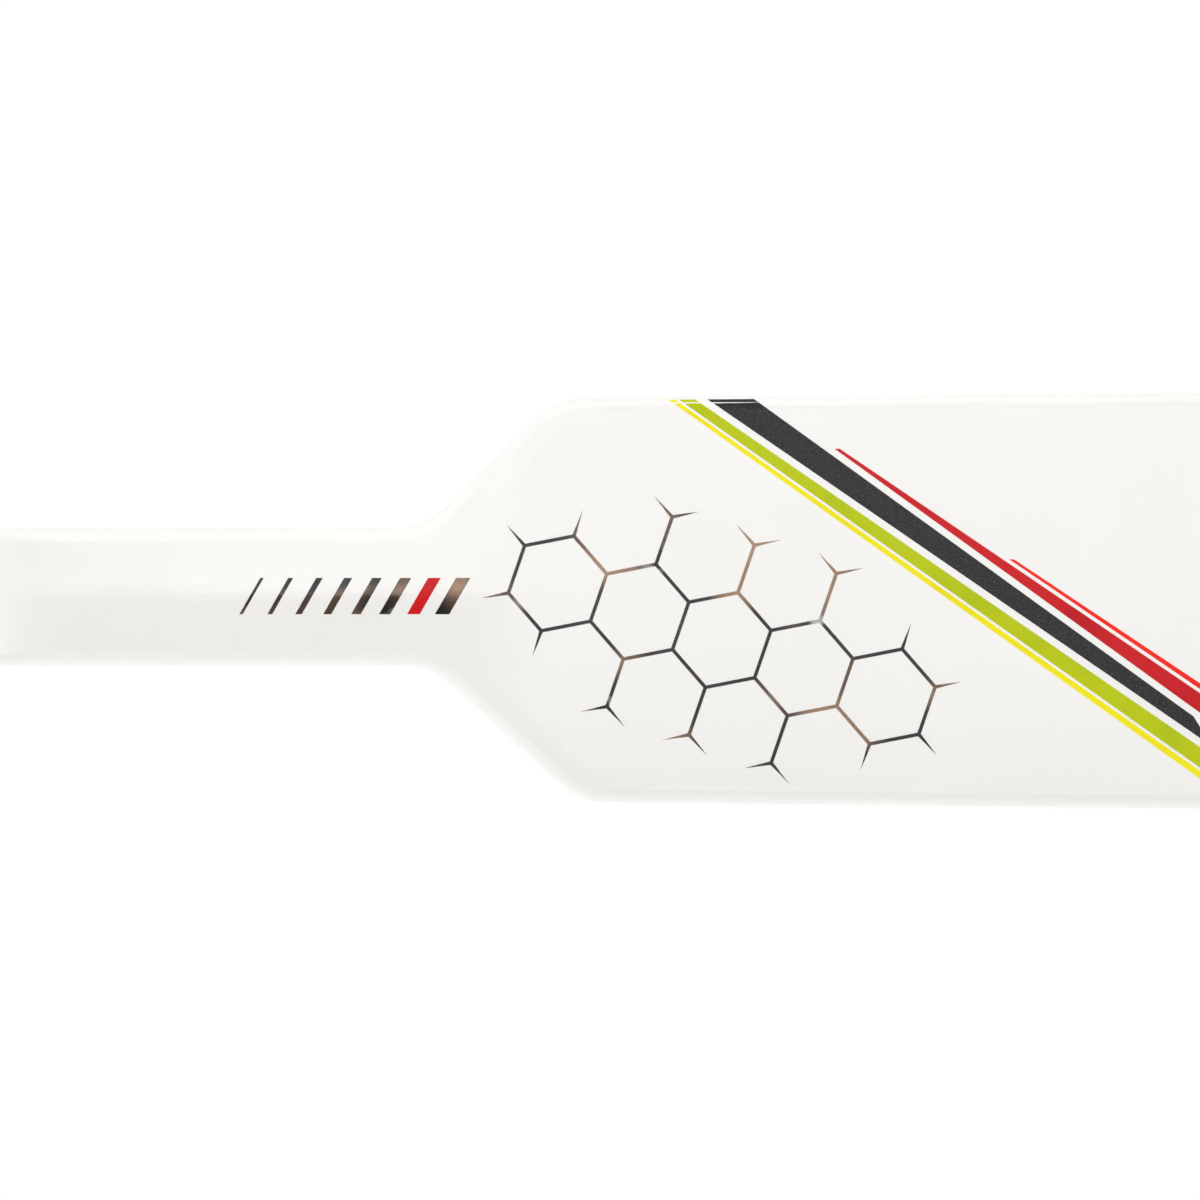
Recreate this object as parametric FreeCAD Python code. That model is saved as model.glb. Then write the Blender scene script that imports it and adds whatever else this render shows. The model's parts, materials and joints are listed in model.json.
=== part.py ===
import FreeCAD, Part
import math
import os

V = FreeCAD.Vector

# Hockey goalie stick, lying on its flat back. X runs from the butt end to the heel, Y across the
# paddle towards the blade's toe, Z from the back to the front. X = 0 is the throat, where the shaft
# opens into the paddle, Y = 0 the shaft's centre line and Z = 0 the back. Millimetres and degrees.

# Shaft
shaft_length = 865.0        # throat to the open end of the tube
shaft_width = 29.0
stick_depth = 20.5          # back to the shaft's front and to the paddle's face
edge_radius = 2.8           # rounding of all long edges
shaft_wall = 2.0

# Five-sided grip above the throat, where the front falls away in two facets
facet_slope = 10.0          # fall of the facets from the ridge between them
ridge_offset = 0.8          # the ridge lies this far above the centre line
ridge_blend = 1.8           # half the width of the rounded ridge
grip_lead = 4.0             # flat front between the neck's mouth and the facets
grip_fade = 16.0            # length over which the facets form

# Neck joint, where the shaft's tenon is bonded into the paddle
neck_length = 92.0          # length of the neck socket above the throat
tenon_reach = 60.0          # tenon below the throat
tenon_wall = 1.6
bore_step = 12.0            # length over which both bores overlap before the tenon
bung_length = 30.0

# Butt plug
plug_clearance = 0.3
plug_length = 45.0
plug_wall = 2.0
plug_head = 5.0
plug_round = 1.5

# Paddle
paddle_length = 635.0       # throat to heel
shoulder_upper = 41.9       # half widths at the shoulders, from the centre line
shoulder_lower = 43.0
paddle_upper = 42.9         # half widths where the edges run parallel
paddle_lower = 44.5
flare_length = 165.0        # throat to the parallel edges
flank_upper = 44.0          # slope of the shoulders
flank_lower = 42.5
throat_skew = 0.7           # the upper throat lies this far above X = 0, the lower one below
throat_radius = 14.0
shoulder_radius = 15.5
flare_blend = 18.0          # rounding either side of the flare's end
skin = 1.6                  # thickness of all moulded shells
bond = 0.15                 # glue line between pieces

# Front of the throat and shoulders
facet_start = -6.0          # the facets flatten out from here
facet_end = 24.0            # to here
bevel_width = 5.8           # bevel along each shoulder, measured square to the edge
bevel_slope = 8.0
bevel_blend = 0.8
bevel_start = 2.0
bevel_full = 9.0
bevel_fade = 31.0
bevel_end = 43.0

# Inside the paddle
core_start = 6.0
spine_thickness = 6.0
tongue_length = 70.0
tongue_width = 60.0
slot_depth = 30.0

# Blade
lie_angle = 115.0           # between paddle and blade
blade_length = 390.0        # heel to toe
blade_width = 88.0
heel_radius = 30.0
crotch_radius = 45.0
toe_low_radius = 28.0
toe_high_radius = 38.0
toe_rake = 12.0
sole_rocker = 2.5           # bulge of the sole between heel and toe
sole_flat = 20.0            # straight stretch of the sole beside its corners
curve_start = 130.0         # flat from the heel to here, then curved to the front
toe_rise = 26.0
toe_thickness = 13.0
seam_margin = 8.0           # paddle seam to the start of the crotch's rounding
heel_block_reach = 95.0
rib_thickness = 4.0
rib_tenon = 20.0
rib_toe_gap = 45.0

# Derived places
half_shaft = shaft_width / 2
half_depth = stick_depth / 2
fitted = skin + bond                    # inset of everything bonded inside the shells
tenon_bore = fitted + tenon_wall
least_radius = 0.5
grip_steps = 8                          # cross sections where the facets form
neck_steps = 6                          # and from there to the throat
shoulder_steps = 26                     # through throat and shoulders
flare_steps = 4                         # and from there to the parallel edges
spill = 1.0                             # cutters run this far past what they cut
tiny = 1e-3
neck_mouth = -neck_length
grip_start = neck_mouth + grip_lead
grip_full = grip_start + grip_fade
butt_end = -shaft_length
blade_turn = math.radians(180.0 - lie_angle)
along = V(math.cos(blade_turn), math.sin(blade_turn), 0)
across = V(-along.y, along.x, 0)
heel = V(paddle_length, -paddle_lower, 0)


def inset_corners(corners, inset):
    # Corners (x, y, radius) of an open outline, its inside on the right, moved in by inset
    count = len(corners)
    normals = []
    for (x0, y0, _), (x1, y1, _) in zip(corners, corners[1:]):
        length = math.hypot(x1 - x0, y1 - y0)
        normals.append(((y1 - y0) / length, (x0 - x1) / length))
    moved = []
    for i, (x, y, radius) in enumerate(corners):
        before = normals[max(i - 1, 0)]
        after = normals[min(i, count - 2)]
        share = inset / (1 + before[0] * after[0] + before[1] * after[1])
        turn = before[0] * after[1] - before[1] * after[0]
        new_radius = max(radius + math.copysign(inset, turn), least_radius) if radius else 0.0
        moved.append((x + (before[0] + after[0]) * share, y + (before[1] + after[1]) * share, new_radius))
    return moved


def corner_arc(before, corner, after):
    # Start, middle, end and centre of the arc that rounds one corner
    point = V(corner[0], corner[1], 0)
    back = (V(before[0], before[1], 0) - point).normalize()
    ahead = (V(after[0], after[1], 0) - point).normalize()
    half = back.getAngle(ahead) / 2
    radius = corner[2]
    reach = radius / math.tan(half)
    middle = (back + ahead).normalize()
    centre = point + middle * (radius / math.sin(half))
    return point + back * reach, centre - middle * radius, point + ahead * reach, centre


def outline_edges(corners):
    # Straight lines and tangent arcs of an open outline
    edges = []
    last = V(corners[0][0], corners[0][1], 0)
    for before, corner, after in zip(corners, corners[1:], corners[2:]):
        start, middle, end, _ = corner_arc(before, corner, after)
        edges.append(Part.makeLine(last, start))
        edges.append(Part.Arc(start, middle, end).toShape())
        last = end
    edges.append(Part.makeLine(last, V(corners[-1][0], corners[-1][1], 0)))
    return edges


def filled(edges):
    return Part.Face(Part.Wire(Part.sortEdges(edges)[0]))


def edge_at(corners, x):
    # Half width and slope of a paddle edge at one place along the stick
    last = corners[0]
    for before, corner, after in zip(corners, corners[1:], corners[2:]):
        start, _, end, centre = corner_arc(before, corner, after)
        if x <= start.x:
            slope = (start.y - last[1]) / (start.x - last[0])
            return start.y + (x - start.x) * slope, slope
        if x <= end.x:
            bulge = math.copysign(math.sqrt(corner[2] ** 2 - (x - centre.x) ** 2), start.y - centre.y)
            return centre.y + bulge, (centre.x - x) / bulge
        last = (end.x, end.y)
    slope = (corners[-1][1] - last[1]) / (corners[-1][0] - last[0])
    return last[1] + (x - last[0]) * slope, slope


def paddle_edge(upper, inset, start_x, end_x):
    # One long edge of neck and paddle, drawn as half widths, so that both sides read alike
    flank = math.tan(math.radians(flank_upper if upper else flank_lower))
    throat_x = -throat_skew if upper else throat_skew
    shoulder = shoulder_upper if upper else shoulder_lower
    full = paddle_upper if upper else paddle_lower
    shoulder_x = throat_x + (shoulder - half_shaft) / flank
    flare_turn = abs(math.atan2(full - shoulder, flare_length - shoulder_x))
    flare_radius = flare_blend / math.tan(flare_turn / 2)
    corners = [(start_x, half_shaft, 0.0), (throat_x, half_shaft, throat_radius),
               (shoulder_x, shoulder, shoulder_radius), (flare_length, full, flare_radius),
               (end_x, full, 0.0)]
    return inset_corners(corners, inset)


def smooth(x, start, end):
    # 0 before start, 1 after end, with a soft change between
    t = min(max((x - start) / (end - start), 0.0), 1.0)
    return t * t * (3 - 2 * t)


def facet_fall(x):
    # Fall of the front facets per millimetre from the ridge
    grown = smooth(x, grip_start, grip_full) * (1 - smooth(x, facet_start, facet_end))
    return math.tan(math.radians(facet_slope)) * grown


def bevel_fall(x):
    # Fall of the shoulder bevel per millimetre towards the edge
    grown = smooth(x, bevel_start, bevel_full) * (1 - smooth(x, bevel_fade, bevel_end))
    return math.tan(math.radians(bevel_slope)) * grown


def corner_radius(inset):
    return max(edge_radius - inset, least_radius)


def blend(start, corner, end):
    # Poles of a round edge from start to end, tangent to the lines through corner
    turn = (corner - start).getAngle(end - corner)
    pull = 4 / 3 * math.tan(turn / 4) / math.tan(turn / 2) if turn > tiny else 2 / 3
    return [start, start + (corner - start) * pull, end + (corner - end) * pull, end]


def side_points(x, inset, base, upper):
    # Points of one half of a cross section, from the foot of its side up to the ridge
    half, slope = edge_at(paddle_edge(upper, inset, neck_mouth - spill, paddle_length), x)
    stretch = math.hypot(1, slope)
    facet = facet_fall(x)
    bevel = facet + bevel_fall(x) / stretch
    bevel_y = half - bevel_width * stretch
    top = stick_depth - inset
    round_y = half - corner_radius(inset) * stretch
    sign = 1 if upper else -1
    ridge_y = sign * ridge_offset
    crest_y = ridge_y + ridge_blend

    def height(y):
        return top - facet * (min(y, bevel_y) - ridge_y) - bevel * max(y - bevel_y, 0)

    return [V(x, sign * y, z) for y, z in (
        (half, base), (half, height(half) - corner_radius(inset)), (half, height(half)),
        (round_y, height(round_y)), (bevel_y + bevel_blend, height(bevel_y + bevel_blend)),
        (bevel_y, height(bevel_y)), (bevel_y - bevel_blend, height(bevel_y - bevel_blend)),
        (crest_y, height(crest_y)))]


def front_strips(x, inset, base):
    # Poles of each stretch of a cross section over the front, from the upper side to the lower one
    up = side_points(x, inset, base, True)
    low = side_points(x, inset, base, False)
    ridge = V(x, ridge_offset, stick_depth - inset)
    return [up[0:2], blend(up[1], up[2], up[3]), up[3:5], blend(up[4], up[5], up[6]), up[6:8],
            blend(up[7], ridge, low[7]),
            low[7:5:-1], blend(low[6], low[5], low[4]),
            low[4:2:-1], blend(low[3], low[2], low[1]), low[1::-1]]


def strip_edge(poles):
    # Straight line through two poles, or round edge through four
    if len(poles) == 2:
        return Part.makeLine(poles[0], poles[1])
    curve = Part.BezierCurve()
    curve.setPoles(poles)
    return curve.toShape()


def rail_through(stations, points):
    # Smooth line along the stick through one point of every cross section
    rail = Part.BSplineCurve()
    rail.interpolate(Points=list(points), Parameters=stations, Scale=False,
                     InitialTangent=V(1, 0, 0), FinalTangent=V(1, 0, 0))
    return rail


def strip_face(stations, rows):
    # Surface through the same stretch of every cross section
    rails = [rail_through(stations, points) for points in zip(*rows)]
    rail = rails[0]
    poles = [line.getPoles() for line in rails]
    degree = len(poles) - 1
    surface = Part.BSplineSurface()
    surface.buildFromPolesMultsKnots([list(row) for row in zip(*poles)], rail.getMultiplicities(),
                                     [degree + 1, degree + 1], rail.getKnots(), [0.0, 1.0],
                                     False, False, rail.Degree, degree)
    return surface.toShape()


def shaft_section(inset, x):
    # Whole section of the shaft at one place: flat front at the neck's mouth, five-sided in the grip
    radius = corner_radius(inset)
    up = side_points(x, inset, inset + radius, True)
    low = side_points(x, inset, inset + radius, False)
    front = [[up[3], low[3]]]
    if facet_fall(x) > tiny:
        ridge = V(x, ridge_offset, stick_depth - inset)
        front = [[up[3], up[7]], blend(up[7], ridge, low[7]), [low[7], low[3]]]
    strips = [up[0:2], blend(up[1], up[2], up[3])] + front + [blend(low[3], low[2], low[1]), low[1::-1]]
    lean = radius * (1 - math.sqrt(0.5))
    low_floor = V(x, low[0].y + radius, inset)
    up_floor = V(x, up[0].y - radius, inset)
    edges = [strip_edge(poles) for poles in strips]
    edges.append(Part.Arc(low[0], low[0] + V(0, lean, lean - radius), low_floor).toShape())
    edges.append(Part.makeLine(low_floor, up_floor))
    edges.append(Part.Arc(up_floor, up[0] + V(0, -lean, lean - radius), up[0]).toShape())
    return Part.Wire(edges)


def bar(inset, section_x, start_x, end_x):
    # Solid bar between two places along the stick, with the section that the shaft has at section_x
    solid = Part.Face(shaft_section(inset, section_x)).extrude(V(end_x - start_x, 0, 0))
    solid.translate(V(start_x - section_x, 0, 0))
    return solid


def shaft_bar(inset, start_x, end_x):
    return bar(inset, neck_mouth, start_x, end_x)


def grip_bar(inset, start_x, end_x):
    return bar(inset, grip_full, start_x, end_x)


def spread(start, end, count):
    # Evenly spaced places from start to end
    return [start + (end - start) * i / count for i in range(count + 1)]


def shell_ring(x):
    # Poles of every stretch round the front shell's cross section: outside, inside and both feet
    outside = front_strips(x, 0, half_depth)
    inside = front_strips(x, skin, half_depth)
    return outside + inside + [[outside[0][0], inside[0][0]], [outside[-1][-1], inside[-1][-1]]]


def front_skin(start_x, end_x):
    # Front shell of neck and paddle: neck with its grip, shaped shoulders and parallel paddle in one
    stations = spread(grip_start, grip_full, grip_steps)
    stations += spread(stations[-1], facet_start - throat_radius, neck_steps)[1:]
    stations += spread(stations[-1], bevel_end + throat_radius, shoulder_steps)[1:]
    stations += spread(stations[-1], flare_length + 2 * throat_radius, flare_steps)[1:]
    rings = [shell_ring(x) for x in stations]
    faces = [strip_face(stations, rows) for rows in zip(*rings)]
    for ring, place, far_end in ((rings[0], stations[0], start_x), (rings[-1], stations[-1], end_x)):
        shift = V(far_end - place, 0, 0)
        edges = [strip_edge(poles) for poles in ring]
        faces += [edge.extrude(shift) for edge in edges]
        faces.append(filled([edge.translated(shift) for edge in edges]))
    shell = Part.Shell(faces)
    shell.sewShape()
    solid = Part.Solid(shell)
    if solid.Volume < 0:
        solid.reverse()
    return solid


def plan_edges(inset, start_x, end_x):
    # Both long edges of neck and paddle in plan, and its two cut ends
    upper = paddle_edge(True, inset, start_x, end_x)
    lower = [(x, -y, radius) for x, y, radius in paddle_edge(False, inset, start_x, end_x)]
    pairs = ((upper[0], lower[0]), (upper[-1], lower[-1]))
    ends = [Part.makeLine(V(a[0], a[1], 0), V(b[0], b[1], 0)) for a, b in pairs]
    return outline_edges(upper) + outline_edges(lower), ends


def round_rim(solid, rim, radius, ceiling):
    # Round the edges that follow the rim in plan, up to a ceiling, and leave the cut ends sharp
    border = Part.Compound(rim)
    chosen = []
    for edge in solid.Edges:
        start = edge.valueAt(edge.FirstParameter)
        end = edge.valueAt(edge.LastParameter)
        middle = edge.valueAt((edge.FirstParameter + edge.LastParameter) / 2)
        upright = math.hypot(start.x - end.x, start.y - end.y) < tiny
        off = border.distToShape(Part.Vertex(V(middle.x, middle.y, 0)))[0]
        if not upright and off < tiny and max(start.z, end.z) < ceiling + tiny:
            chosen.append(edge)
    return solid.makeFillet(radius, chosen)


def back_half(inset, top, start_x, end_x):
    # Flat back half of neck and paddle
    rim, ends = plan_edges(inset, start_x, end_x)
    solid = filled(rim + ends).extrude(V(0, 0, top - inset))
    solid.translate(V(0, 0, inset))
    return round_rim(solid, rim, corner_radius(inset), inset)


def box(x0, x1, y0, y1, z0, z1):
    return Part.makeBox(x1 - x0, y1 - y0, z1 - z0, V(x0, y0, z0))


def on_blade(u, v, z):
    # A point from its distance along the blade, up from the sole and off the back
    return heel + along * u + across * v + V(0, 0, z)


# Centres of the blade's bends, above the point where the bend starts
bend_run = blade_length - curve_start
front_rise = toe_rise + toe_thickness - stick_depth


def bend_centre(rise, flat):
    return flat + (bend_run ** 2 + rise ** 2) / (2 * rise)


back_centre = bend_centre(toe_rise, 0)
front_centre = bend_centre(front_rise, stick_depth)
middle_centre = bend_centre((toe_rise + front_rise) / 2, half_depth)
blade_top = toe_rise + toe_thickness + stick_depth
rocker_run = blade_length / 2 - max(heel_radius, toe_low_radius) - sole_flat
rocker_radius = rocker_run * blade_length / (2 * sole_rocker)
slab_start = -2 * blade_width
slab_side = 4 * blade_width


def bend_edges(flat, centre):
    # Flat line and arc of one blade surface, from the heel side to past the toe
    radius = centre - flat
    sweep = math.asin((bend_run + blade_width) / radius)

    def point(angle):
        run = curve_start + radius * math.sin(angle)
        return on_blade(run, -blade_width, centre - radius * math.cos(angle))

    line = Part.makeLine(on_blade(slab_start, -blade_width, flat), point(0))
    return [line, Part.Arc(point(0), point(sweep / 2), point(sweep)).toShape()], point(sweep)


def blade_slab(low_flat, low_centre, high_flat, high_centre):
    # Everything between two surfaces that bend with the blade
    low, low_end = bend_edges(low_flat, low_centre)
    high, high_end = bend_edges(high_flat, high_centre)
    root = [on_blade(slab_start, -blade_width, flat) for flat in (low_flat, high_flat)]
    ends = [Part.makeLine(*root), Part.makeLine(low_end, high_end)]
    return filled(low + high + ends).extrude(across * slab_side)


# Crotch, where the blade's top edge meets the paddle's upper edge, and the seam above it
crotch_u = (paddle_upper + paddle_lower - blade_width * across.y) / along.y
crotch = on_blade(crotch_u, blade_width, 0)
seam_x = crotch.x - crotch_radius * math.tan(blade_turn / 2) - seam_margin


def blade_corners(inset, start_x):
    # Outline of heel and blade, from the paddle's upper edge round the toe to its lower edge
    toe_high = on_blade(blade_length - toe_rake, blade_width, 0)
    toe_low = on_blade(blade_length, 0, 0)
    sole = on_blade(blade_length / 2, -sole_rocker, 0)
    corners = [(start_x, paddle_upper, 0.0), (crotch.x, crotch.y, crotch_radius),
               (toe_high.x, toe_high.y, toe_high_radius), (toe_low.x, toe_low.y, toe_low_radius),
               (sole.x, sole.y, rocker_radius), (heel.x, heel.y, heel_radius), (start_x, -paddle_lower, 0.0)]
    return inset_corners(corners, inset)


def blade_body(inset, start_x):
    # Heel and blade as one sharp-edged solid
    corners = blade_corners(inset, start_x)
    rim = outline_edges(corners)
    root = Part.makeLine(V(corners[-1][0], corners[-1][1], 0), V(corners[0][0], corners[0][1], 0))
    prism = filled(rim + [root]).extrude(V(0, 0, blade_top + spill))
    prism.translate(V(0, 0, -spill))
    slab = blade_slab(inset, back_centre, stick_depth - inset, front_centre)
    return prism.common(slab), rim


def blade_block(u0, u1, v0, v1):
    # Box square to the blade, taller than the stick
    corners = [on_blade(u, v, -spill) for u, v in ((u0, v0), (u1, v0), (u1, v1), (u0, v1), (u0, v0))]
    return Part.Face(Part.makePolygon(corners)).extrude(V(0, 0, blade_top + spill))


# Shaft tube with its tenon
bore_end = neck_mouth - bore_step
tube = shaft_bar(0, butt_end, neck_mouth).fuse(grip_bar(fitted, neck_mouth - spill, tenon_reach))
tube = tube.cut(shaft_bar(shaft_wall, butt_end - spill, bore_end))
tube = tube.cut(grip_bar(tenon_bore, bore_end - spill, tenon_reach + spill))

bung = grip_bar(tenon_bore + bond, tenon_reach - bung_length, tenon_reach)

# Butt plug
head = shaft_bar(0, butt_end - plug_head, butt_end)
head_rim = [edge for edge in head.Edges if edge.BoundBox.XMax < butt_end - plug_head + tiny]
head = head.makeFillet(plug_round, head_rim)
spigot_inset = shaft_wall + plug_clearance
spigot = shaft_bar(spigot_inset, butt_end - spill, butt_end + plug_length)
hollow = shaft_bar(spigot_inset + plug_wall, butt_end, butt_end + plug_length + spill)
plug = head.fuse(spigot).cut(hollow)

# Paddle shells
front_shell = front_skin(neck_mouth, seam_x)
back_shell = back_half(0, half_depth, neck_mouth, seam_x)
back_shell = back_shell.cut(back_half(skin, half_depth + spill, neck_mouth - spill, seam_x + spill))

# Paddle spine and cores
inside_low = fitted
inside_high = stick_depth - fitted
tongue_start = seam_x - tongue_length
half_spine = spine_thickness / 2
spine = box(tenon_reach + bond, tongue_start + slot_depth, -half_spine, half_spine, inside_low, inside_high)

core_rim, core_ends = plan_edges(fitted, neck_mouth, seam_x)
core_block = filled(core_rim + core_ends).extrude(V(0, 0, inside_high - inside_low))
core_block.translate(V(0, 0, inside_low))
core_block = round_rim(core_block, core_rim, corner_radius(fitted), inside_high)
wide = 2 * paddle_lower
start_half = edge_at(paddle_edge(False, 0, neck_mouth, paddle_length), core_start)[0]
relief = facet_fall(core_start) * (start_half + ridge_offset)
relief += math.tan(math.radians(bevel_slope)) * bevel_width
half_tenon = half_shaft - fitted + bond
half_tongue = tongue_width / 2 + bond
core_block = core_block.cut([
    box(neck_mouth - spill, core_start, -wide, wide, -spill, stick_depth),
    box(core_start - spill, bevel_end, -wide, wide, inside_high - relief, stick_depth),
    box(core_start - spill, tenon_reach + bond, -half_tenon, half_tenon, -spill, stick_depth),
    box(tenon_reach - spill, seam_x, -half_spine - bond, half_spine + bond, -spill, stick_depth),
    box(tongue_start - bond, seam_x + spill, -half_tongue, half_tongue, -spill, stick_depth)])
core_upper = core_block.common(box(neck_mouth, seam_x, 0, wide, 0, stick_depth))
core_lower = core_block.common(box(neck_mouth, seam_x, -wide, 0, 0, stick_depth))

# Blade shells
blade_outer, blade_rim = blade_body(0, seam_x)
blade_outer = round_rim(blade_outer, blade_rim, edge_radius, blade_top)
blade_inner, _ = blade_body(skin, seam_x - spill)
blade_skin = blade_outer.cut(blade_inner)
back_side = blade_slab(-stick_depth, back_centre, half_depth, middle_centre)
blade_back = blade_skin.common(back_side)
blade_front = blade_skin.cut(back_side)

# Blade rib, cores and heel block
middle_v = blade_width / 2
half_rib = rib_thickness / 2
blade_fill, _ = blade_body(fitted, seam_x)
rib_start = heel_block_reach - rib_tenon
rib_end = blade_length - rib_toe_gap
rib = blade_fill.common(blade_block(rib_start, rib_end, middle_v - half_rib, middle_v + half_rib))
half_room = half_rib + bond
rib_room = blade_block(rib_start - bond, rib_end + bond, middle_v - half_room, middle_v + half_room)
core_u = heel_block_reach + bond
blade_cores = blade_fill.cut(rib_room)
blade_core_upper = blade_cores.common(blade_block(core_u, 2 * blade_length, middle_v, slab_side))
blade_core_lower = blade_cores.common(blade_block(core_u, 2 * blade_length, -blade_width, middle_v))

tongue = box(tongue_start, seam_x + spill, -tongue_width / 2, tongue_width / 2, inside_low, inside_high)
heel_block = blade_fill.common(blade_block(slab_start, heel_block_reach, -blade_width, slab_side))
heel_block = heel_block.fuse(tongue).removeSplitter().cut(rib_room)
slot_end = tongue_start + slot_depth + bond
heel_block = heel_block.cut(box(tongue_start - spill, slot_end, -half_spine - bond, half_spine + bond,
                                -spill, stick_depth))

pieces = {
    "shaft_tube": tube,
    "shaft_bung": bung,
    "butt_plug": plug,
    "paddle_front_shell": front_shell,
    "paddle_back_shell": back_shell,
    "paddle_spine": spine,
    "paddle_core_upper": core_upper,
    "paddle_core_lower": core_lower,
    "heel_block": heel_block,
    "blade_front_shell": blade_front,
    "blade_back_shell": blade_back,
    "blade_rib": rib,
    "blade_core_upper": blade_core_upper,
    "blade_core_lower": blade_core_lower,
}

os.makedirs("parts", exist_ok=True)
for name, shape in pieces.items():
    shape.exportStep(f"parts/{name}.step")
    solids = shape.Solids
    print(name, "solids", len(solids), "valid", shape.isValid(), "volume", round(shape.Volume, 1))
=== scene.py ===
import json
import math
import bmesh
import bpy
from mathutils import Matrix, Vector
from mathutils.bvhtree import BVHTree

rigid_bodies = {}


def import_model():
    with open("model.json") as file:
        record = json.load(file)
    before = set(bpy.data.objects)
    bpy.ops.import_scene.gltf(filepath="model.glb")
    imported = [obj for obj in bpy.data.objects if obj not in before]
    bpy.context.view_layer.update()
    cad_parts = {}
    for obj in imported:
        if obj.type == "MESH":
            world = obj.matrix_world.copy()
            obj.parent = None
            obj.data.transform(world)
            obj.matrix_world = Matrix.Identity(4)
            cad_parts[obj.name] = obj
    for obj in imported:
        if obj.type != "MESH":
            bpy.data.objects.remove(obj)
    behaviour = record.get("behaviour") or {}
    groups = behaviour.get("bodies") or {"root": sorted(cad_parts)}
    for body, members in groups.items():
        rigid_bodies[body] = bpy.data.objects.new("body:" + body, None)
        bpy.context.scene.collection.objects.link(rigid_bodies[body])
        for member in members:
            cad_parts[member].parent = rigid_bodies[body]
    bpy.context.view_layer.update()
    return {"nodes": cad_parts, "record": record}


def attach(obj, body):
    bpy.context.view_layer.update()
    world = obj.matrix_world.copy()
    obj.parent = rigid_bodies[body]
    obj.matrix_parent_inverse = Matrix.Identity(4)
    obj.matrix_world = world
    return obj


for leftover in list(bpy.data.objects):
    bpy.data.objects.remove(leftover)
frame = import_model()
nodes = frame["nodes"]
scene = bpy.context.scene
mm = 0.001
print("stick loaded:", len(nodes), "solids")

# Camera square on to the front face, as in the photograph; in millimetres, but for the far clip in metres
photoView = {"across": 251.4, "centreX": 36.5, "centreY": -0.63, "faceHeight": 20.5,
             "lens": 200, "sensor": 36, "clipEnd": 100}
cameraData = bpy.data.cameras.new("photoCamera")
cameraData.lens = photoView["lens"]
cameraData.sensor_width = photoView["sensor"]
cameraData.clip_end = photoView["clipEnd"]
camera = bpy.data.objects.new("photoCamera", cameraData)
cameraRise = photoView["faceHeight"] + photoView["across"] * photoView["lens"] / photoView["sensor"]
camera.location = (photoView["centreX"] * mm, photoView["centreY"] * mm, cameraRise * mm)
scene.collection.objects.link(camera)
scene.camera = camera
scene.view_settings.view_transform = "Standard"


def wire(tree, source, target):
    tree.links.new(source, target)


def addNode(tree, kind, **settings):
    node = tree.nodes.new("ShaderNode" + kind)
    for setting, value in settings.items():
        setattr(node, setting, value)
    return node


def mathNode(tree, operation, first, second=None):
    node = addNode(tree, "Math", operation=operation)
    for socket, value in zip(node.inputs, (first, second)):
        if isinstance(value, (int, float)):
            socket.default_value = value
        elif value is not None:
            wire(tree, value, socket)
    return node.outputs[0]


def rangeNode(tree, value, start, end, low, high):
    node = addNode(tree, "MapRange", interpolation_type="SMOOTHSTEP")
    wire(tree, value, node.inputs["Value"])
    for socket, number in zip(("From Min", "From Max", "To Min", "To Max"), (start, end, low, high)):
        node.inputs[socket].default_value = number
    return node.outputs["Result"]


def seenBackground(tree):
    # 1 for rays that should meet a white studio: camera, glossy and transmission
    path = addNode(tree, "LightPath")
    direct = mathNode(tree, "MAXIMUM", path.outputs["Is Camera Ray"], path.outputs["Is Glossy Ray"])
    return mathNode(tree, "MAXIMUM", direct, path.outputs["Is Transmission Ray"])


# Soft studio: pale floor with a painted pool of light, a glow that is whitest under the throat and fades to grey
# farther out, a dim even sky, a long soft box over the front, one beyond the upper edge with a slim strip for its
# highlight, and low cards for the other edges.
# Only the soft box lights the floor, so that the stick has one soft shadow. Places are in metres, and
# the floor's drop below the stick in millimetres
studio = {"sky": 0.09, "backdrop": 0.85, "ceiling": 0.2, "ceilingSine": (0.5, 0.85),
          "floorSize": 60, "floorDrop": 0.15, "floorTone": 0.95,
          "paintedPoolGlow": (0.93, 0.47), "floorMatte": (0.14, 0.4),
          "paintedPoolCentre": (0.036, 0.0, 0.0), "paintedPoolEdge": (0.12, 1.0), "floorLamp": "softBox"}
lamps = {"softBox": {"power": 18.3, "size": (4.0, 0.55), "place": (0.0, 0.21, 1.18), "shine": True},
         "upperBox": {"power": 42.5, "size": (4.0, 1.0), "place": (0.0, 2.65, 1.4), "shine": False},
         "edgeStrip": {"power": 8, "size": (4.0, 0.12), "place": (0.0, 2.3, 1.93), "shine": True},
         "lowCard": {"power": 133, "size": (6.0, 0.4), "place": (0.0, -4.0, 0.25), "shine": False},
         "buttCard": {"power": 42, "size": (3.0, 0.5), "place": (-3.5, -0.15, 0.3), "shine": False},
         "toeCard": {"power": 27, "size": (3.0, 0.8), "place": (3.5, 0.0, 0.7), "shine": False}}

world = bpy.data.worlds.new("studioSky")
world.use_nodes = True
scene.world = world
skyTree = world.node_tree
skyShader = skyTree.nodes["Background"]
skyAxes = addNode(skyTree, "SeparateXYZ")
wire(skyTree, addNode(skyTree, "TexCoord").outputs["Generated"], skyAxes.inputs[0])
skyRange = addNode(skyTree, "MapRange")
wire(skyTree, seenBackground(skyTree), skyRange.inputs["Value"])
skyRange.inputs["To Min"].default_value = studio["sky"]
skySeen = rangeNode(skyTree, skyAxes.outputs["Z"], *studio["ceilingSine"], studio["backdrop"], studio["ceiling"])
wire(skyTree, skySeen, skyRange.inputs["To Max"])
skyShader.inputs["Color"].default_value = (1, 1, 1, 1)
wire(skyTree, skyRange.outputs["Result"], skyShader.inputs["Strength"])

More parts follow.
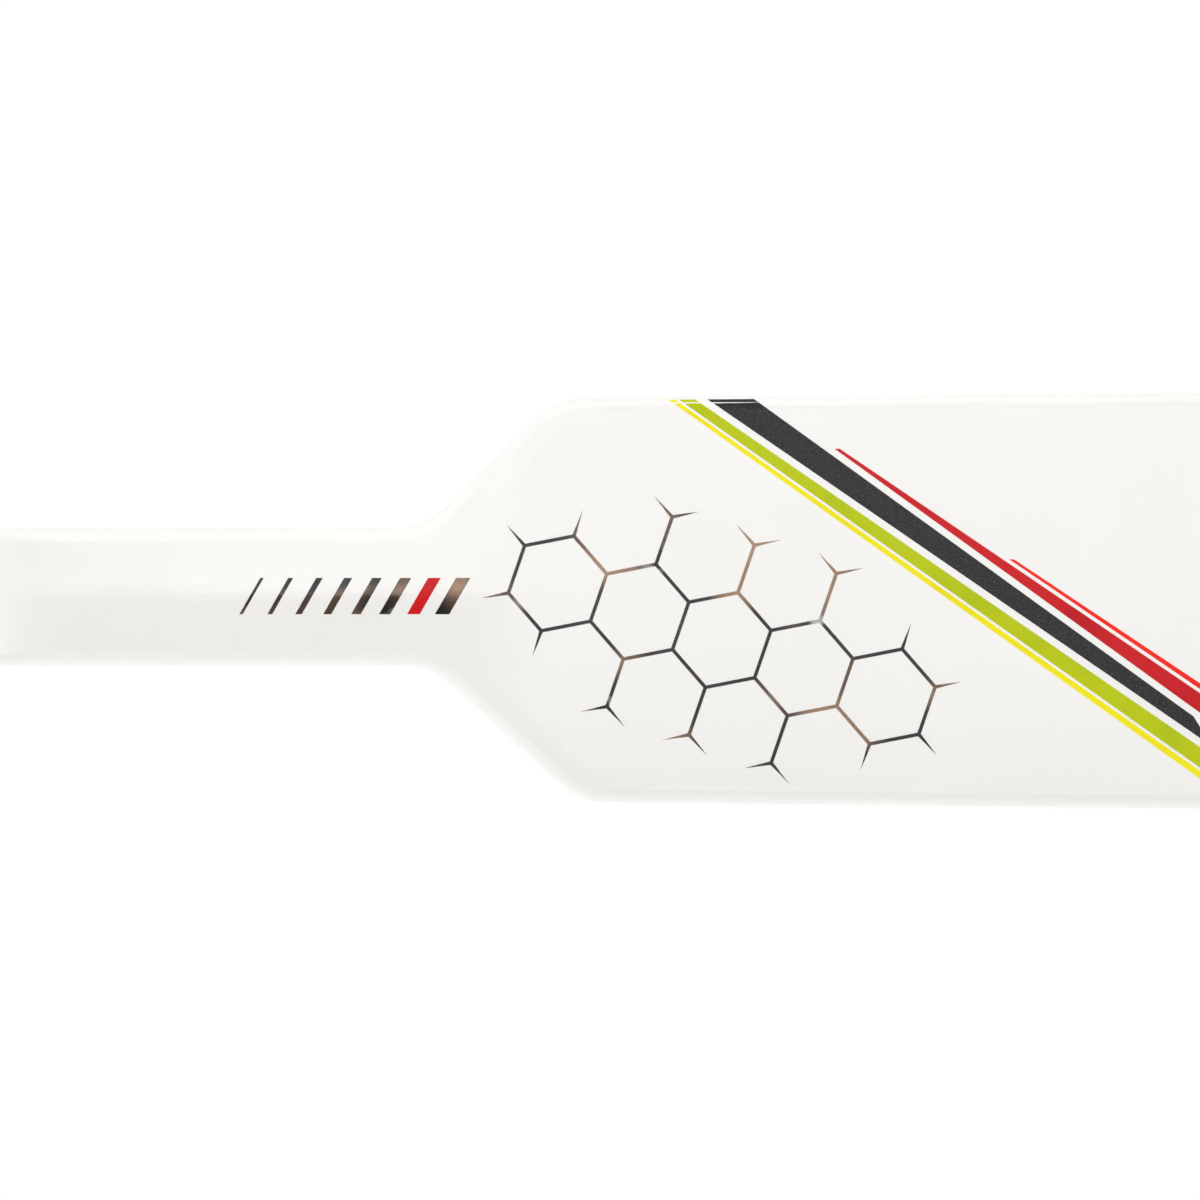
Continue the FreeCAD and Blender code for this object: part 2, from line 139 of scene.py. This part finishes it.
floorMesh = bpy.data.meshes.new("studioFloor")
half = studio["floorSize"] / 2
drop = -studio["floorDrop"] * mm
floorCorners = [(-half, -half, drop), (half, -half, drop), (half, half, drop), (-half, half, drop)]
floorMesh.from_pydata(floorCorners, [], [(0, 1, 2, 3)])
floor = bpy.data.objects.new("studioFloor", floorMesh)
scene.collection.objects.link(floor)
offFloor = bpy.data.collections.new("offFloor")  # lamps linked to this pass the floor by
offFloor.objects.link(floor)
offFloor.collection_objects[0].light_linking.link_state = "EXCLUDE"

for lampName, setup in lamps.items():
    lampData = bpy.data.lights.new(lampName, "AREA")
    lampData.shape = "RECTANGLE"
    lampData.size, lampData.size_y = setup["size"]
    lampData.energy = setup["power"]
    lamp = bpy.data.objects.new(lampName, lampData)
    lamp.location = setup["place"]
    lamp.rotation_euler = (-Vector(setup["place"])).to_track_quat("-Z", "Y").to_euler()
    lamp.visible_camera = False
    lamp.visible_glossy = setup["shine"]
    scene.collection.objects.link(lamp)
    if lampName != studio["floorLamp"]:
        lamp.light_linking.receiver_collection = offFloor

floorPaint = bpy.data.materials.new("studioFloor")
floorPaint.use_nodes = True
floorTree = floorPaint.node_tree
floorTree.nodes.remove(floorTree.nodes["Principled BSDF"])
seen = seenBackground(floorTree)
# Painted pool of light: the floor's glow for camera and glossy rays fades with distance from the throat, and its
# matte colour rises over the same span, so the shadow stays faint where the glow is strongest
fromPool = addNode(floorTree, "VectorMath", operation="DISTANCE")
wire(floorTree, addNode(floorTree, "TexCoord").outputs["Object"], fromPool.inputs[0])
fromPool.inputs[1].default_value = studio["paintedPoolCentre"]
away = fromPool.outputs["Value"]
floorColour = addNode(floorTree, "MapRange")
wire(floorTree, seen, floorColour.inputs["Value"])
floorColour.inputs["To Min"].default_value = studio["floorTone"]
paintedPoolMatte = rangeNode(floorTree, away, *studio["paintedPoolEdge"], *studio["floorMatte"])
wire(floorTree, paintedPoolMatte, floorColour.inputs["To Max"])
floorMatte = addNode(floorTree, "BsdfDiffuse")
wire(floorTree, floorColour.outputs["Result"], floorMatte.inputs["Color"])
paintedPoolLight = rangeNode(floorTree, away, *studio["paintedPoolEdge"], *studio["paintedPoolGlow"])
paintedPoolGlow = addNode(floorTree, "Emission")
wire(floorTree, mathNode(floorTree, "MULTIPLY", seen, paintedPoolLight), paintedPoolGlow.inputs["Strength"])
floorSum = addNode(floorTree, "AddShader")
wire(floorTree, floorMatte.outputs[0], floorSum.inputs[0])
wire(floorTree, paintedPoolGlow.outputs[0], floorSum.inputs[1])
wire(floorTree, floorSum.outputs[0], floorTree.nodes["Material Output"].inputs["Surface"])
floorMesh.materials.append(floorPaint)
print("studio ready")


def startMaterial(name):
    material = bpy.data.materials.new(name)
    material.use_nodes = True
    tree = material.node_tree
    place = addNode(tree, "TexCoord").outputs["Object"]
    return material, tree, tree.nodes["Principled BSDF"], place


def noise(tree, place, scale, detail=3.0, roughness=0.5):
    node = addNode(tree, "TexNoise")
    wire(tree, place, node.inputs["Vector"])
    node.inputs["Scale"].default_value = scale
    node.inputs["Detail"].default_value = detail
    node.inputs["Roughness"].default_value = roughness
    return node.outputs["Fac"]


def spread(tree, value, low, high, start=0.3, end=0.7):
    # a noise seldom leaves 0.3 to 0.7, so those are the usual ends
    return rangeNode(tree, value, start, end, low, high)


def twoTones(tree, amount, first, second):
    # the node's colours are its inputs 6 and 7 and its output 2
    node = addNode(tree, "Mix", data_type="RGBA")
    wire(tree, amount, node.inputs["Factor"])
    for socket, tone in zip((node.inputs[6], node.inputs[7]), (first, second)):
        if isinstance(tone, tuple):
            socket.default_value = (*tone, 1)
        else:
            wire(tree, tone, socket)
    return node.outputs[2]


def addBump(tree, shader, height, depth, under=None):
    bump = addNode(tree, "Bump")
    bump.inputs["Strength"].default_value = 1.0
    bump.inputs["Distance"].default_value = depth
    wire(tree, height, bump.inputs["Height"])
    if under is not None:
        wire(tree, under, bump.inputs["Normal"])
    wire(tree, bump.outputs["Normal"], shader.inputs["Normal"])
    return bump.outputs["Normal"]


# White lacquer of shaft, paddle and blade, with a faint matt patch on the grip's two facets,
# which breaks up into fine slanted lines at both ends; the patch's places are in millimetres
lacquer = {"white": (0.905, 0.894, 0.867), "cloud": (0.885, 0.873, 0.845), "cloudScale": 20, "cloudDetail": 4.0,
           "peelScale": 700, "peelDetail": 2.0, "peelDepth": 0.000012, "gloss": (0.3, 0.38),
           "coat": 0.4, "coatGloss": 0.12}
patch = {"tone": (0.887, 0.875, 0.848), "pitch": 0.45, "slant": 0.8, "depth": 0.000012, "gloss": 0.55,
         "along": (-91.0, -78.0, -60.0, -49.0), "across": (10.6, 12.2), "above": (10.0, 12.0),
         "lineReach": 1.5, "lineBlur": 0.5}


def makeLacquer():
    material, tree, shader, place = startMaterial("whiteLacquer")
    axes = addNode(tree, "SeparateXYZ")
    wire(tree, place, axes.inputs[0])
    x, y, z = axes.outputs
    alongStart, alongFull, alongFade, alongEnd = [edge * mm for edge in patch["along"]]
    acrossFade, acrossEnd = [edge * mm for edge in patch["across"]]
    aboveStart, aboveFull = [edge * mm for edge in patch["above"]]
    limits = [spread(tree, x, 0.0, 1.0, alongStart, alongFull), spread(tree, x, 1.0, 0.0, alongFade, alongEnd),
              spread(tree, mathNode(tree, "ABSOLUTE", y), 1.0, 0.0, acrossFade, acrossEnd),
              spread(tree, z, 0.0, 1.0, aboveStart, aboveFull)]
    cover = limits[0]
    for limit in limits[1:]:
        cover = mathNode(tree, "MULTIPLY", cover, limit)
    # slanted lines that widen until they close where the cover is full
    lean = mathNode(tree, "MULTIPLY", y, patch["slant"])
    turns = mathNode(tree, "MULTIPLY", mathNode(tree, "ADD", x, lean), 2 * math.pi / (patch["pitch"] * mm))
    reach, blur = patch["lineReach"], patch["lineBlur"]
    widen = mathNode(tree, "SUBTRACT", mathNode(tree, "MULTIPLY", cover, 2 * reach), reach)
    lines = mathNode(tree, "ADD", mathNode(tree, "SINE", turns), widen)
    matt = spread(tree, lines, 0.0, 1.0, -blur, blur)
    clouds = noise(tree, place, lacquer["cloudScale"], lacquer["cloudDetail"])
    paint = twoTones(tree, spread(tree, clouds, 0.0, 1.0), lacquer["white"], lacquer["cloud"])
    wire(tree, twoTones(tree, matt, paint, patch["tone"]), shader.inputs["Base Color"])
    peel = noise(tree, place, lacquer["peelScale"], lacquer["peelDetail"])
    gloss = spread(tree, peel, *lacquer["gloss"])
    dull = mathNode(tree, "MULTIPLY", matt, patch["gloss"] - lacquer["gloss"][1])
    wire(tree, mathNode(tree, "ADD", gloss, dull), shader.inputs["Roughness"])
    shader.inputs["Coat Weight"].default_value = lacquer["coat"]
    shader.inputs["Coat Roughness"].default_value = lacquer["coatGloss"]
    skinNormal = addBump(tree, shader, peel, lacquer["peelDepth"])
    addBump(tree, shader, matt, patch["depth"], skinNormal)
    return material


# Moulded black butt plug
plugLook = {"black": (0.022, 0.022, 0.024), "worn": (0.05, 0.05, 0.053), "gloss": (0.42, 0.58),
            "grainScale": 1600, "grainDepth": 0.00005,
            "scuffScale": 90, "scuffDetail": 5.0, "scuffRoughness": 0.65, "scuffEdge": (0.5, 0.75)}


def makePlugPlastic():
    material, tree, shader, place = startMaterial("mouldedPlug")
    scuffs = noise(tree, place, plugLook["scuffScale"], plugLook["scuffDetail"], plugLook["scuffRoughness"])
    worn = spread(tree, scuffs, 0, 1, *plugLook["scuffEdge"])
    wire(tree, twoTones(tree, worn, plugLook["black"], plugLook["worn"]), shader.inputs["Base Color"])
    wire(tree, spread(tree, scuffs, *plugLook["gloss"]), shader.inputs["Roughness"])
    addBump(tree, shader, noise(tree, place, plugLook["grainScale"]), plugLook["grainDepth"])
    return material


# Inside: foam cores
foamLook = {"foam": (0.86, 0.8, 0.62), "cell": (0.7, 0.63, 0.45), "cellScale": 900, "cellWall": (0.02, 0.2),
            "cellDepth": 0.0001, "gloss": (0.75, 0.95), "glossScale": 300}


def makeFoam():
    material, tree, shader, place = startMaterial("rigidFoam")
    cells = addNode(tree, "TexVoronoi", feature="DISTANCE_TO_EDGE")
    wire(tree, place, cells.inputs["Vector"])
    cells.inputs["Scale"].default_value = foamLook["cellScale"]
    wall = spread(tree, cells.outputs["Distance"], 1.0, 0.0, *foamLook["cellWall"])
    wire(tree, twoTones(tree, wall, foamLook["foam"], foamLook["cell"]), shader.inputs["Base Color"])
    dull = spread(tree, noise(tree, place, foamLook["glossScale"]), *foamLook["gloss"])
    wire(tree, dull, shader.inputs["Roughness"])
    addBump(tree, shader, wall, foamLook["cellDepth"])
    return material


# Inside: laminate webs
laminateLook = {"carbon": (0.035, 0.035, 0.038), "carbonLight": (0.11, 0.11, 0.115), "towPitch": 2.0,
                "towEdge": 0.4, "towDepth": 0.0001, "gloss": (0.35, 0.5), "glossScale": 600}


def makeLaminate():
    material, tree, shader, place = startMaterial("fibreLaminate")
    axes = addNode(tree, "SeparateXYZ")
    wire(tree, place, axes.inputs[0])
    turns = 2 * math.pi / (laminateLook["towPitch"] * mm)
    along = mathNode(tree, "SINE", mathNode(tree, "MULTIPLY", axes.outputs["X"], turns))
    rise = mathNode(tree, "SINE", mathNode(tree, "MULTIPLY", axes.outputs["Z"], turns))
    weave = mathNode(tree, "MULTIPLY", along, rise)
    light = spread(tree, weave, 0, 1, -laminateLook["towEdge"], laminateLook["towEdge"])
    tone = twoTones(tree, light, laminateLook["carbon"], laminateLook["carbonLight"])
    wire(tree, tone, shader.inputs["Base Color"])
    dull = spread(tree, noise(tree, place, laminateLook["glossScale"]), *laminateLook["gloss"])
    wire(tree, dull, shader.inputs["Roughness"])
    addBump(tree, shader, weave, laminateLook["towDepth"])
    return material


# Inside: cast heel block
fillerLook = {"filler": (0.45, 0.38, 0.28), "fleck": (0.27, 0.21, 0.15), "fleckScale": 500, "fleckDetail": 4.0,
              "fleckRoughness": 0.6, "fleckEdge": (0.5, 0.62), "fleckDepth": 0.00015, "gloss": (0.7, 0.9)}


def makeFiller():
    material, tree, shader, place = startMaterial("castFiller")
    fleck = noise(tree, place, fillerLook["fleckScale"], fillerLook["fleckDetail"], fillerLook["fleckRoughness"])
    dark = spread(tree, fleck, 0, 1, *fillerLook["fleckEdge"])
    wire(tree, twoTones(tree, dark, fillerLook["filler"], fillerLook["fleck"]), shader.inputs["Base Color"])
    wire(tree, spread(tree, fleck, *fillerLook["gloss"]), shader.inputs["Roughness"])
    addBump(tree, shader, fleck, fillerLook["fleckDepth"])
    return material


def paintNode(name, material):
    mesh = nodes[name].data
    mesh.materials.clear()
    mesh.materials.append(material)


finishes = {
    "white_shell": makeLacquer(),
    "black_plug": makePlugPlastic(),
    "foam": makeFoam(),
    "laminate": makeLaminate(),
    "filler": makeFiller(),
}
for subpart in frame["record"]["subparts"]:
    paintNode(subpart["node"], finishes[subpart["material_slot"]])
print("solids painted")

# Inks of the prints: a dark chrome whose colour is lightened in random patches to bronze and to pale glints, a
# painted reflection, and flat colours with a faint fleck
chromeLook = {"dark": (0.03, 0.029, 0.03), "paintedWarmSheen": (0.2, 0.13, 0.09), "pale": (0.32, 0.31, 0.3), "metal": 0.8,
              "gloss": (0.18, 0.34), "detail": 2.0, "driftScale": 55, "driftEdge": (0.45, 0.6),
              "paintedGlintScale": 140, "paintedGlintEdge": (0.62, 0.74)}
inkLook = {"gloss": (0.26, 0.36), "shine": 0.12, "detail": 4.0, "roughness": 0.65, "fleckEdge": (0.45, 0.7)}
inks = {"black": {"main": (0.026, 0.026, 0.027), "fleck": (0.06, 0.06, 0.061), "fleckScale": 3200},
        "lime": {"main": (0.51, 0.59, 0.004), "fleck": (0.44, 0.53, 0.006), "fleckScale": 60},
        "yellow": {"main": (0.93, 0.82, 0.012), "fleck": (0.87, 0.74, 0.012), "fleckScale": 60},
        "red": {"main": (0.62, 0.013, 0.018), "fleck": (0.52, 0.01, 0.016), "fleckScale": 60},
        "scarlet": {"main": (0.95, 0.022, 0.01), "fleck": (0.88, 0.018, 0.01), "fleckScale": 60}}


def makeChromeInk():
    material, tree, shader, place = startMaterial("darkChromeInk")
    # Painted reflection: noise lightens the dark chrome's colour to bronze in broad patches and to pale glints in
    # small ones
    drift = noise(tree, place, chromeLook["driftScale"], chromeLook["detail"])
    paintedBronzeSheen = spread(tree, drift, 0, 1, *chromeLook["driftEdge"])
    tone = twoTones(tree, paintedBronzeSheen, chromeLook["dark"], chromeLook["paintedWarmSheen"])
    paintedGlint = noise(tree, place, chromeLook["paintedGlintScale"], chromeLook["detail"])
    tone = twoTones(tree, spread(tree, paintedGlint, 0, 1, *chromeLook["paintedGlintEdge"]), tone, chromeLook["pale"])
    wire(tree, tone, shader.inputs["Base Color"])
    shader.inputs["Metallic"].default_value = chromeLook["metal"]
    wire(tree, spread(tree, paintedGlint, *chromeLook["gloss"]), shader.inputs["Roughness"])
    return material


def makeInk(colour):
    material, tree, shader, place = startMaterial(colour + "Ink")
    ink = inks[colour]
    grain = noise(tree, place, ink["fleckScale"], inkLook["detail"], inkLook["roughness"])
    fleck = spread(tree, grain, 0, 1, *inkLook["fleckEdge"])
    wire(tree, twoTones(tree, fleck, ink["main"], ink["fleck"]), shader.inputs["Base Color"])
    wire(tree, spread(tree, grain, *inkLook["gloss"]), shader.inputs["Roughness"])
    shader.inputs["Specular IOR Level"].default_value = inkLook["shine"]
    addBump(tree, shader, noise(tree, place, lacquer["peelScale"], lacquer["peelDetail"]), lacquer["peelDepth"])
    return material


# Prints: thin films that follow the shells under them, all in millimetres. They are cut finer across
# the rows where a shell bends, and end a little inside the paddle's edges, which run counterclockwise
filmLook = {"lift": 0.025, "sunk": 0.05, "cell": 3.0, "rimCell": 0.4, "rimMargin": 0.7, "castFrom": 200}
paddleRows = [(-44.8, -38.5), (38.5, 44.8), (-1.2, 2.8)]
shaftRows = [(-1.2, 2.8)]
paddleEdges = {"upper": ((165, 42.9), (29, 41.9)), "lower": ((31, -43.0), (165, -44.5))}


def shellTree(*names):
    points = []
    faces = []
    for name in names:
        first = len(points)
        mesh = nodes[name].data
        points += [vertex.co.copy() for vertex in mesh.vertices]
        faces += [[first + i for i in polygon.vertices] for polygon in mesh.polygons]
    return BVHTree.FromPolygons(points, faces)


def cutAlong(sheet, point, normal, dropOuter=False):
    everything = sheet.verts[:] + sheet.edges[:] + sheet.faces[:]
    bmesh.ops.bisect_plane(sheet, geom=everything, plane_co=point, plane_no=normal, clear_outer=dropOuter)


def stepped(start, end, step):
    count = max(1, math.ceil((end - start) / step))
    return [start + (end - start) * i / count for i in range(count + 1)]


def counterClockwise(outline):
    turn = sum(x0 * y1 - x1 * y0 for (x0, y0), (x1, y1) in zip(outline, outline[1:] + outline[:1]))
    return outline if turn > 0 else outline[::-1]


def layFilm(name, outlines, tree, material, trims=(), fineRows=()):
    # the film keeps what lies left of each trim line
    sheet = bmesh.new()
    for outline in outlines:
        sheet.faces.new([sheet.verts.new((x * mm, y * mm, 0)) for x, y in counterClockwise(outline)])
    for (x0, y0), (x1, y1) in trims:
        cutAlong(sheet, (x0 * mm, y0 * mm, 0), Vector((y1 - y0, x0 - x1, 0)).normalized(), True)
    xs = [vertex.co.x / mm for vertex in sheet.verts]
    ys = [vertex.co.y / mm for vertex in sheet.verts]
    for x in stepped(min(xs), max(xs), filmLook["cell"])[1:-1]:
        cutAlong(sheet, (x * mm, 0, 0), (1, 0, 0))
    rows = stepped(min(ys), max(ys), filmLook["cell"])[1:-1]
    for start, end in fineRows:
        rows += stepped(start, end, filmLook["rimCell"])
    for y in rows:
        cutAlong(sheet, (0, y * mm, 0), (0, 1, 0))
    sheet.verts.index_update()
    upper = []
    lower = []
    for vertex in sheet.verts:
        above = Vector((vertex.co.x, vertex.co.y, filmLook["castFrom"] * mm))
        hit, normal, _, _ = tree.ray_cast(above, Vector((0, 0, -1)))
        upper.append(hit + normal * filmLook["lift"] * mm)
        lower.append(hit - normal * filmLook["sunk"] * mm)
    count = len(upper)
    tops = [[vertex.index for vertex in face.verts] for face in sheet.faces]
    floors = [[count + i for i in reversed(ring)] for ring in tops]
    sides = []
    for edge in sheet.edges:
        if edge.is_boundary:
            loop = edge.link_loops[0]
            i, j = loop.vert.index, loop.link_loop_next.vert.index
            sides.append([i, count + i, count + j, j])
    sheet.free()
    mesh = bpy.data.meshes.new(name)
    mesh.from_pydata(upper + lower, [], tops + floors + sides)
    rims = {frozenset((side[0], side[3])) for side in sides}
    for edge in mesh.edges:
        edge.use_edge_sharp = frozenset(edge.vertices) in rims
    for polygon in mesh.polygons[:len(tops)]:
        polygon.use_smooth = True
    mesh.materials.append(material)
    film = bpy.data.objects.new(name, mesh)
    scene.collection.objects.link(film)
    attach(film, "stick")


def paddleTrims():
    margin = filmLook["rimMargin"]
    upper = [(x, y - margin) for x, y in paddleEdges["upper"]]
    lower = [(x, y + margin) for x, y in paddleEdges["lower"]]
    return [upper, lower]


frontTree = shellTree("paddle_front_shell", "shaft_tube", "blade_front_shell")
chromeInk = makeChromeInk()
inkOf = {colour: makeInk(colour) for colour in inks}

# Straight tapered stripes that fall across the paddle: the X of both sides at the top and at the bottom;
# the red ones start part of the way down, and the black one ends in a slanted cut
stripes = {"span": (43.5, -45.5),
           "yellow": ((47.8, 49.2), (172.6, 175.0)), "lime": ((50.0, 53.4), (176.0, 182.6)),
           "black": ((56.0, 66.0), (185.4, 189.2)), "blackCut": (0.84, 0.77),
           "red": ((68.4, 68.4), (191.6, 199.6)), "redFrom": (0.14, 0.14),
           "scarlet": ((69.8, 69.8), (200.8, 203.4)), "scarletFrom": (0.4, 0.4)}


def stripe(pair, span, start=(0.0, 0.0), end=(1.0, 1.0)):
    outline = []
    for side, share in ((0, start[0]), (0, end[0]), (1, end[1]), (1, start[1])):
        x = pair[0][side] + (pair[1][side] - pair[0][side]) * share
        outline.append((x, span[0] + (span[1] - span[0]) * share))
    return outline


def layStripe(colour, **ends):
    outline = stripe(stripes[colour], stripes["span"], **ends)
    layFilm("print_" + colour + "_stripe", [outline], frontTree, inkOf[colour], paddleTrims(), paddleRows)


layStripe("yellow")
layStripe("lime")
layStripe("black", end=stripes["blackCut"])
layStripe("red", start=stripes["redFrom"])
layStripe("scarlet", start=stripes["scarletFrom"])

# The same stripes, shorter, across the blade, measured from the heel to the toe and from the sole up
bladePrint = {"heel": (635.0, -44.5), "lie": 65.0, "span": (81.0, 7.0),
              "lime": ((128.0, 130.4), (214.0, 218.6)), "black": ((132.4, 142.0), (221.0, 224.4)),
              "red": ((144.0, 144.4), (226.4, 233.0))}


def onBlade(outline):
    lie = math.radians(bladePrint["lie"])
    heelX, heelY = bladePrint["heel"]
    return [(heelX + u * math.cos(lie) - v * math.sin(lie), heelY + u * math.sin(lie) + v * math.cos(lie))
            for u, v in outline]


for colour in ("lime", "black", "red"):
    bladeStripe = onBlade(stripe(bladePrint[colour], bladePrint["span"]))
    layFilm("print_blade_" + colour, [bladeStripe], frontTree, inkOf[colour])

# Honeycomb of thin dark lines below the stripes, ending in short stubs
honeycomb = {"edge": 10.5, "line": 0.75, "turn": 11, "centre": (62, -9), "reach": (50, 25), "lean": -18,
             "stub": 0.55, "cells": 8, "clear": 2.2}


def inHoneycomb(point):
    tilt = math.radians(honeycomb["lean"])
    along = point.x * math.cos(tilt) + point.y * math.sin(tilt)
    across = point.y * math.cos(tilt) - point.x * math.sin(tilt)
    return math.hypot(along / honeycomb["reach"][0], across / honeycomb["reach"][1]) < 1


def hexagon(column, row):
    edge = honeycomb["edge"]
    turn = math.radians(honeycomb["turn"])
    x, y = edge * 1.5 * column, edge * math.sqrt(3) * (row + column % 2 / 2)
    middle = Vector((x * math.cos(turn) - y * math.sin(turn), x * math.sin(turn) + y * math.cos(turn)))
    angles = [turn + math.pi / 3 * k for k in range(6)]
    return [middle + Vector((math.cos(angle), math.sin(angle))) * edge for angle in angles]


def honeycombLines():
    lines = {}  # each shared side once, by its rounded ends
    places = range(-honeycomb["cells"], honeycomb["cells"] + 1)
    for column in places:
        for row in places:
            corners = hexagon(column, row)
            for start, end in zip(corners, corners[1:] + corners[:1]):
                lines.setdefault(tuple(round(value, 1) for value in start + end), (start, end))
    outlines = []
    for start, end in lines.values():
        if not inHoneycomb(start):
            start, end = end, start
        if not inHoneycomb(start):
            continue
        whole = inHoneycomb(end)
        run = (end - start) * (1 if whole else honeycomb["stub"])
        side = Vector((-run.y, run.x)).normalized() * honeycomb["line"] / 2
        tip = run.normalized() * side.length / math.sqrt(3)
        steps = [run * 0, tip - side, run - tip - side, run, run - tip + side, tip + side]
        if not whole:
            steps = [run * 0, tip - side, run, tip + side]
        outlines.append([tuple(Vector(honeycomb["centre"]) + start + step) for step in steps])
    return outlines


yellowSide = stripe(stripes["yellow"], stripes["span"])[:2]
besideYellow = [(x - honeycomb["clear"], y) for x, y in reversed(yellowSide)]
layFilm("print_honeycomb", honeycombLines(), frontTree, chromeInk, paddleTrims() + [besideYellow], paddleRows)

# Rows of slanted dashes on the neck, growing towards the paddle, and near the butt end
dashRows = {"neck": {"count": 8, "from": -37.0, "to": 4.0, "slant": 0.58, "thin": 0.7, "thick": 3.0, "accent": 6},
            "butt": {"count": 11, "from": -600.0, "to": -670.0, "slant": -0.58, "thin": 0.7, "thick": 4.2,
                     "accent": 8}}
dashSpan = (-3.6, 4.0)


def dash(row, index):
    share = index / (row["count"] - 1)
    left = row["from"] + (row["to"] - row["from"]) * share
    width = row["thin"] + (row["thick"] - row["thin"]) * share
    low, high = dashSpan
    lean = row["slant"]
    return [(left + low * lean, low), (left + width + low * lean, low),
            (left + width + high * lean, high), (left + high * lean, high)]


for rowName, row in dashRows.items():
    dark = [dash(row, i) for i in range(row["count"]) if i != row["accent"]]
    layFilm("print_" + rowName + "_dashes", dark, frontTree, chromeInk, (), shaftRows)
    layFilm("print_" + rowName + "_accent", [dash(row, row["accent"])], frontTree, inkOf["red"], (), shaftRows)
print("prints laid")
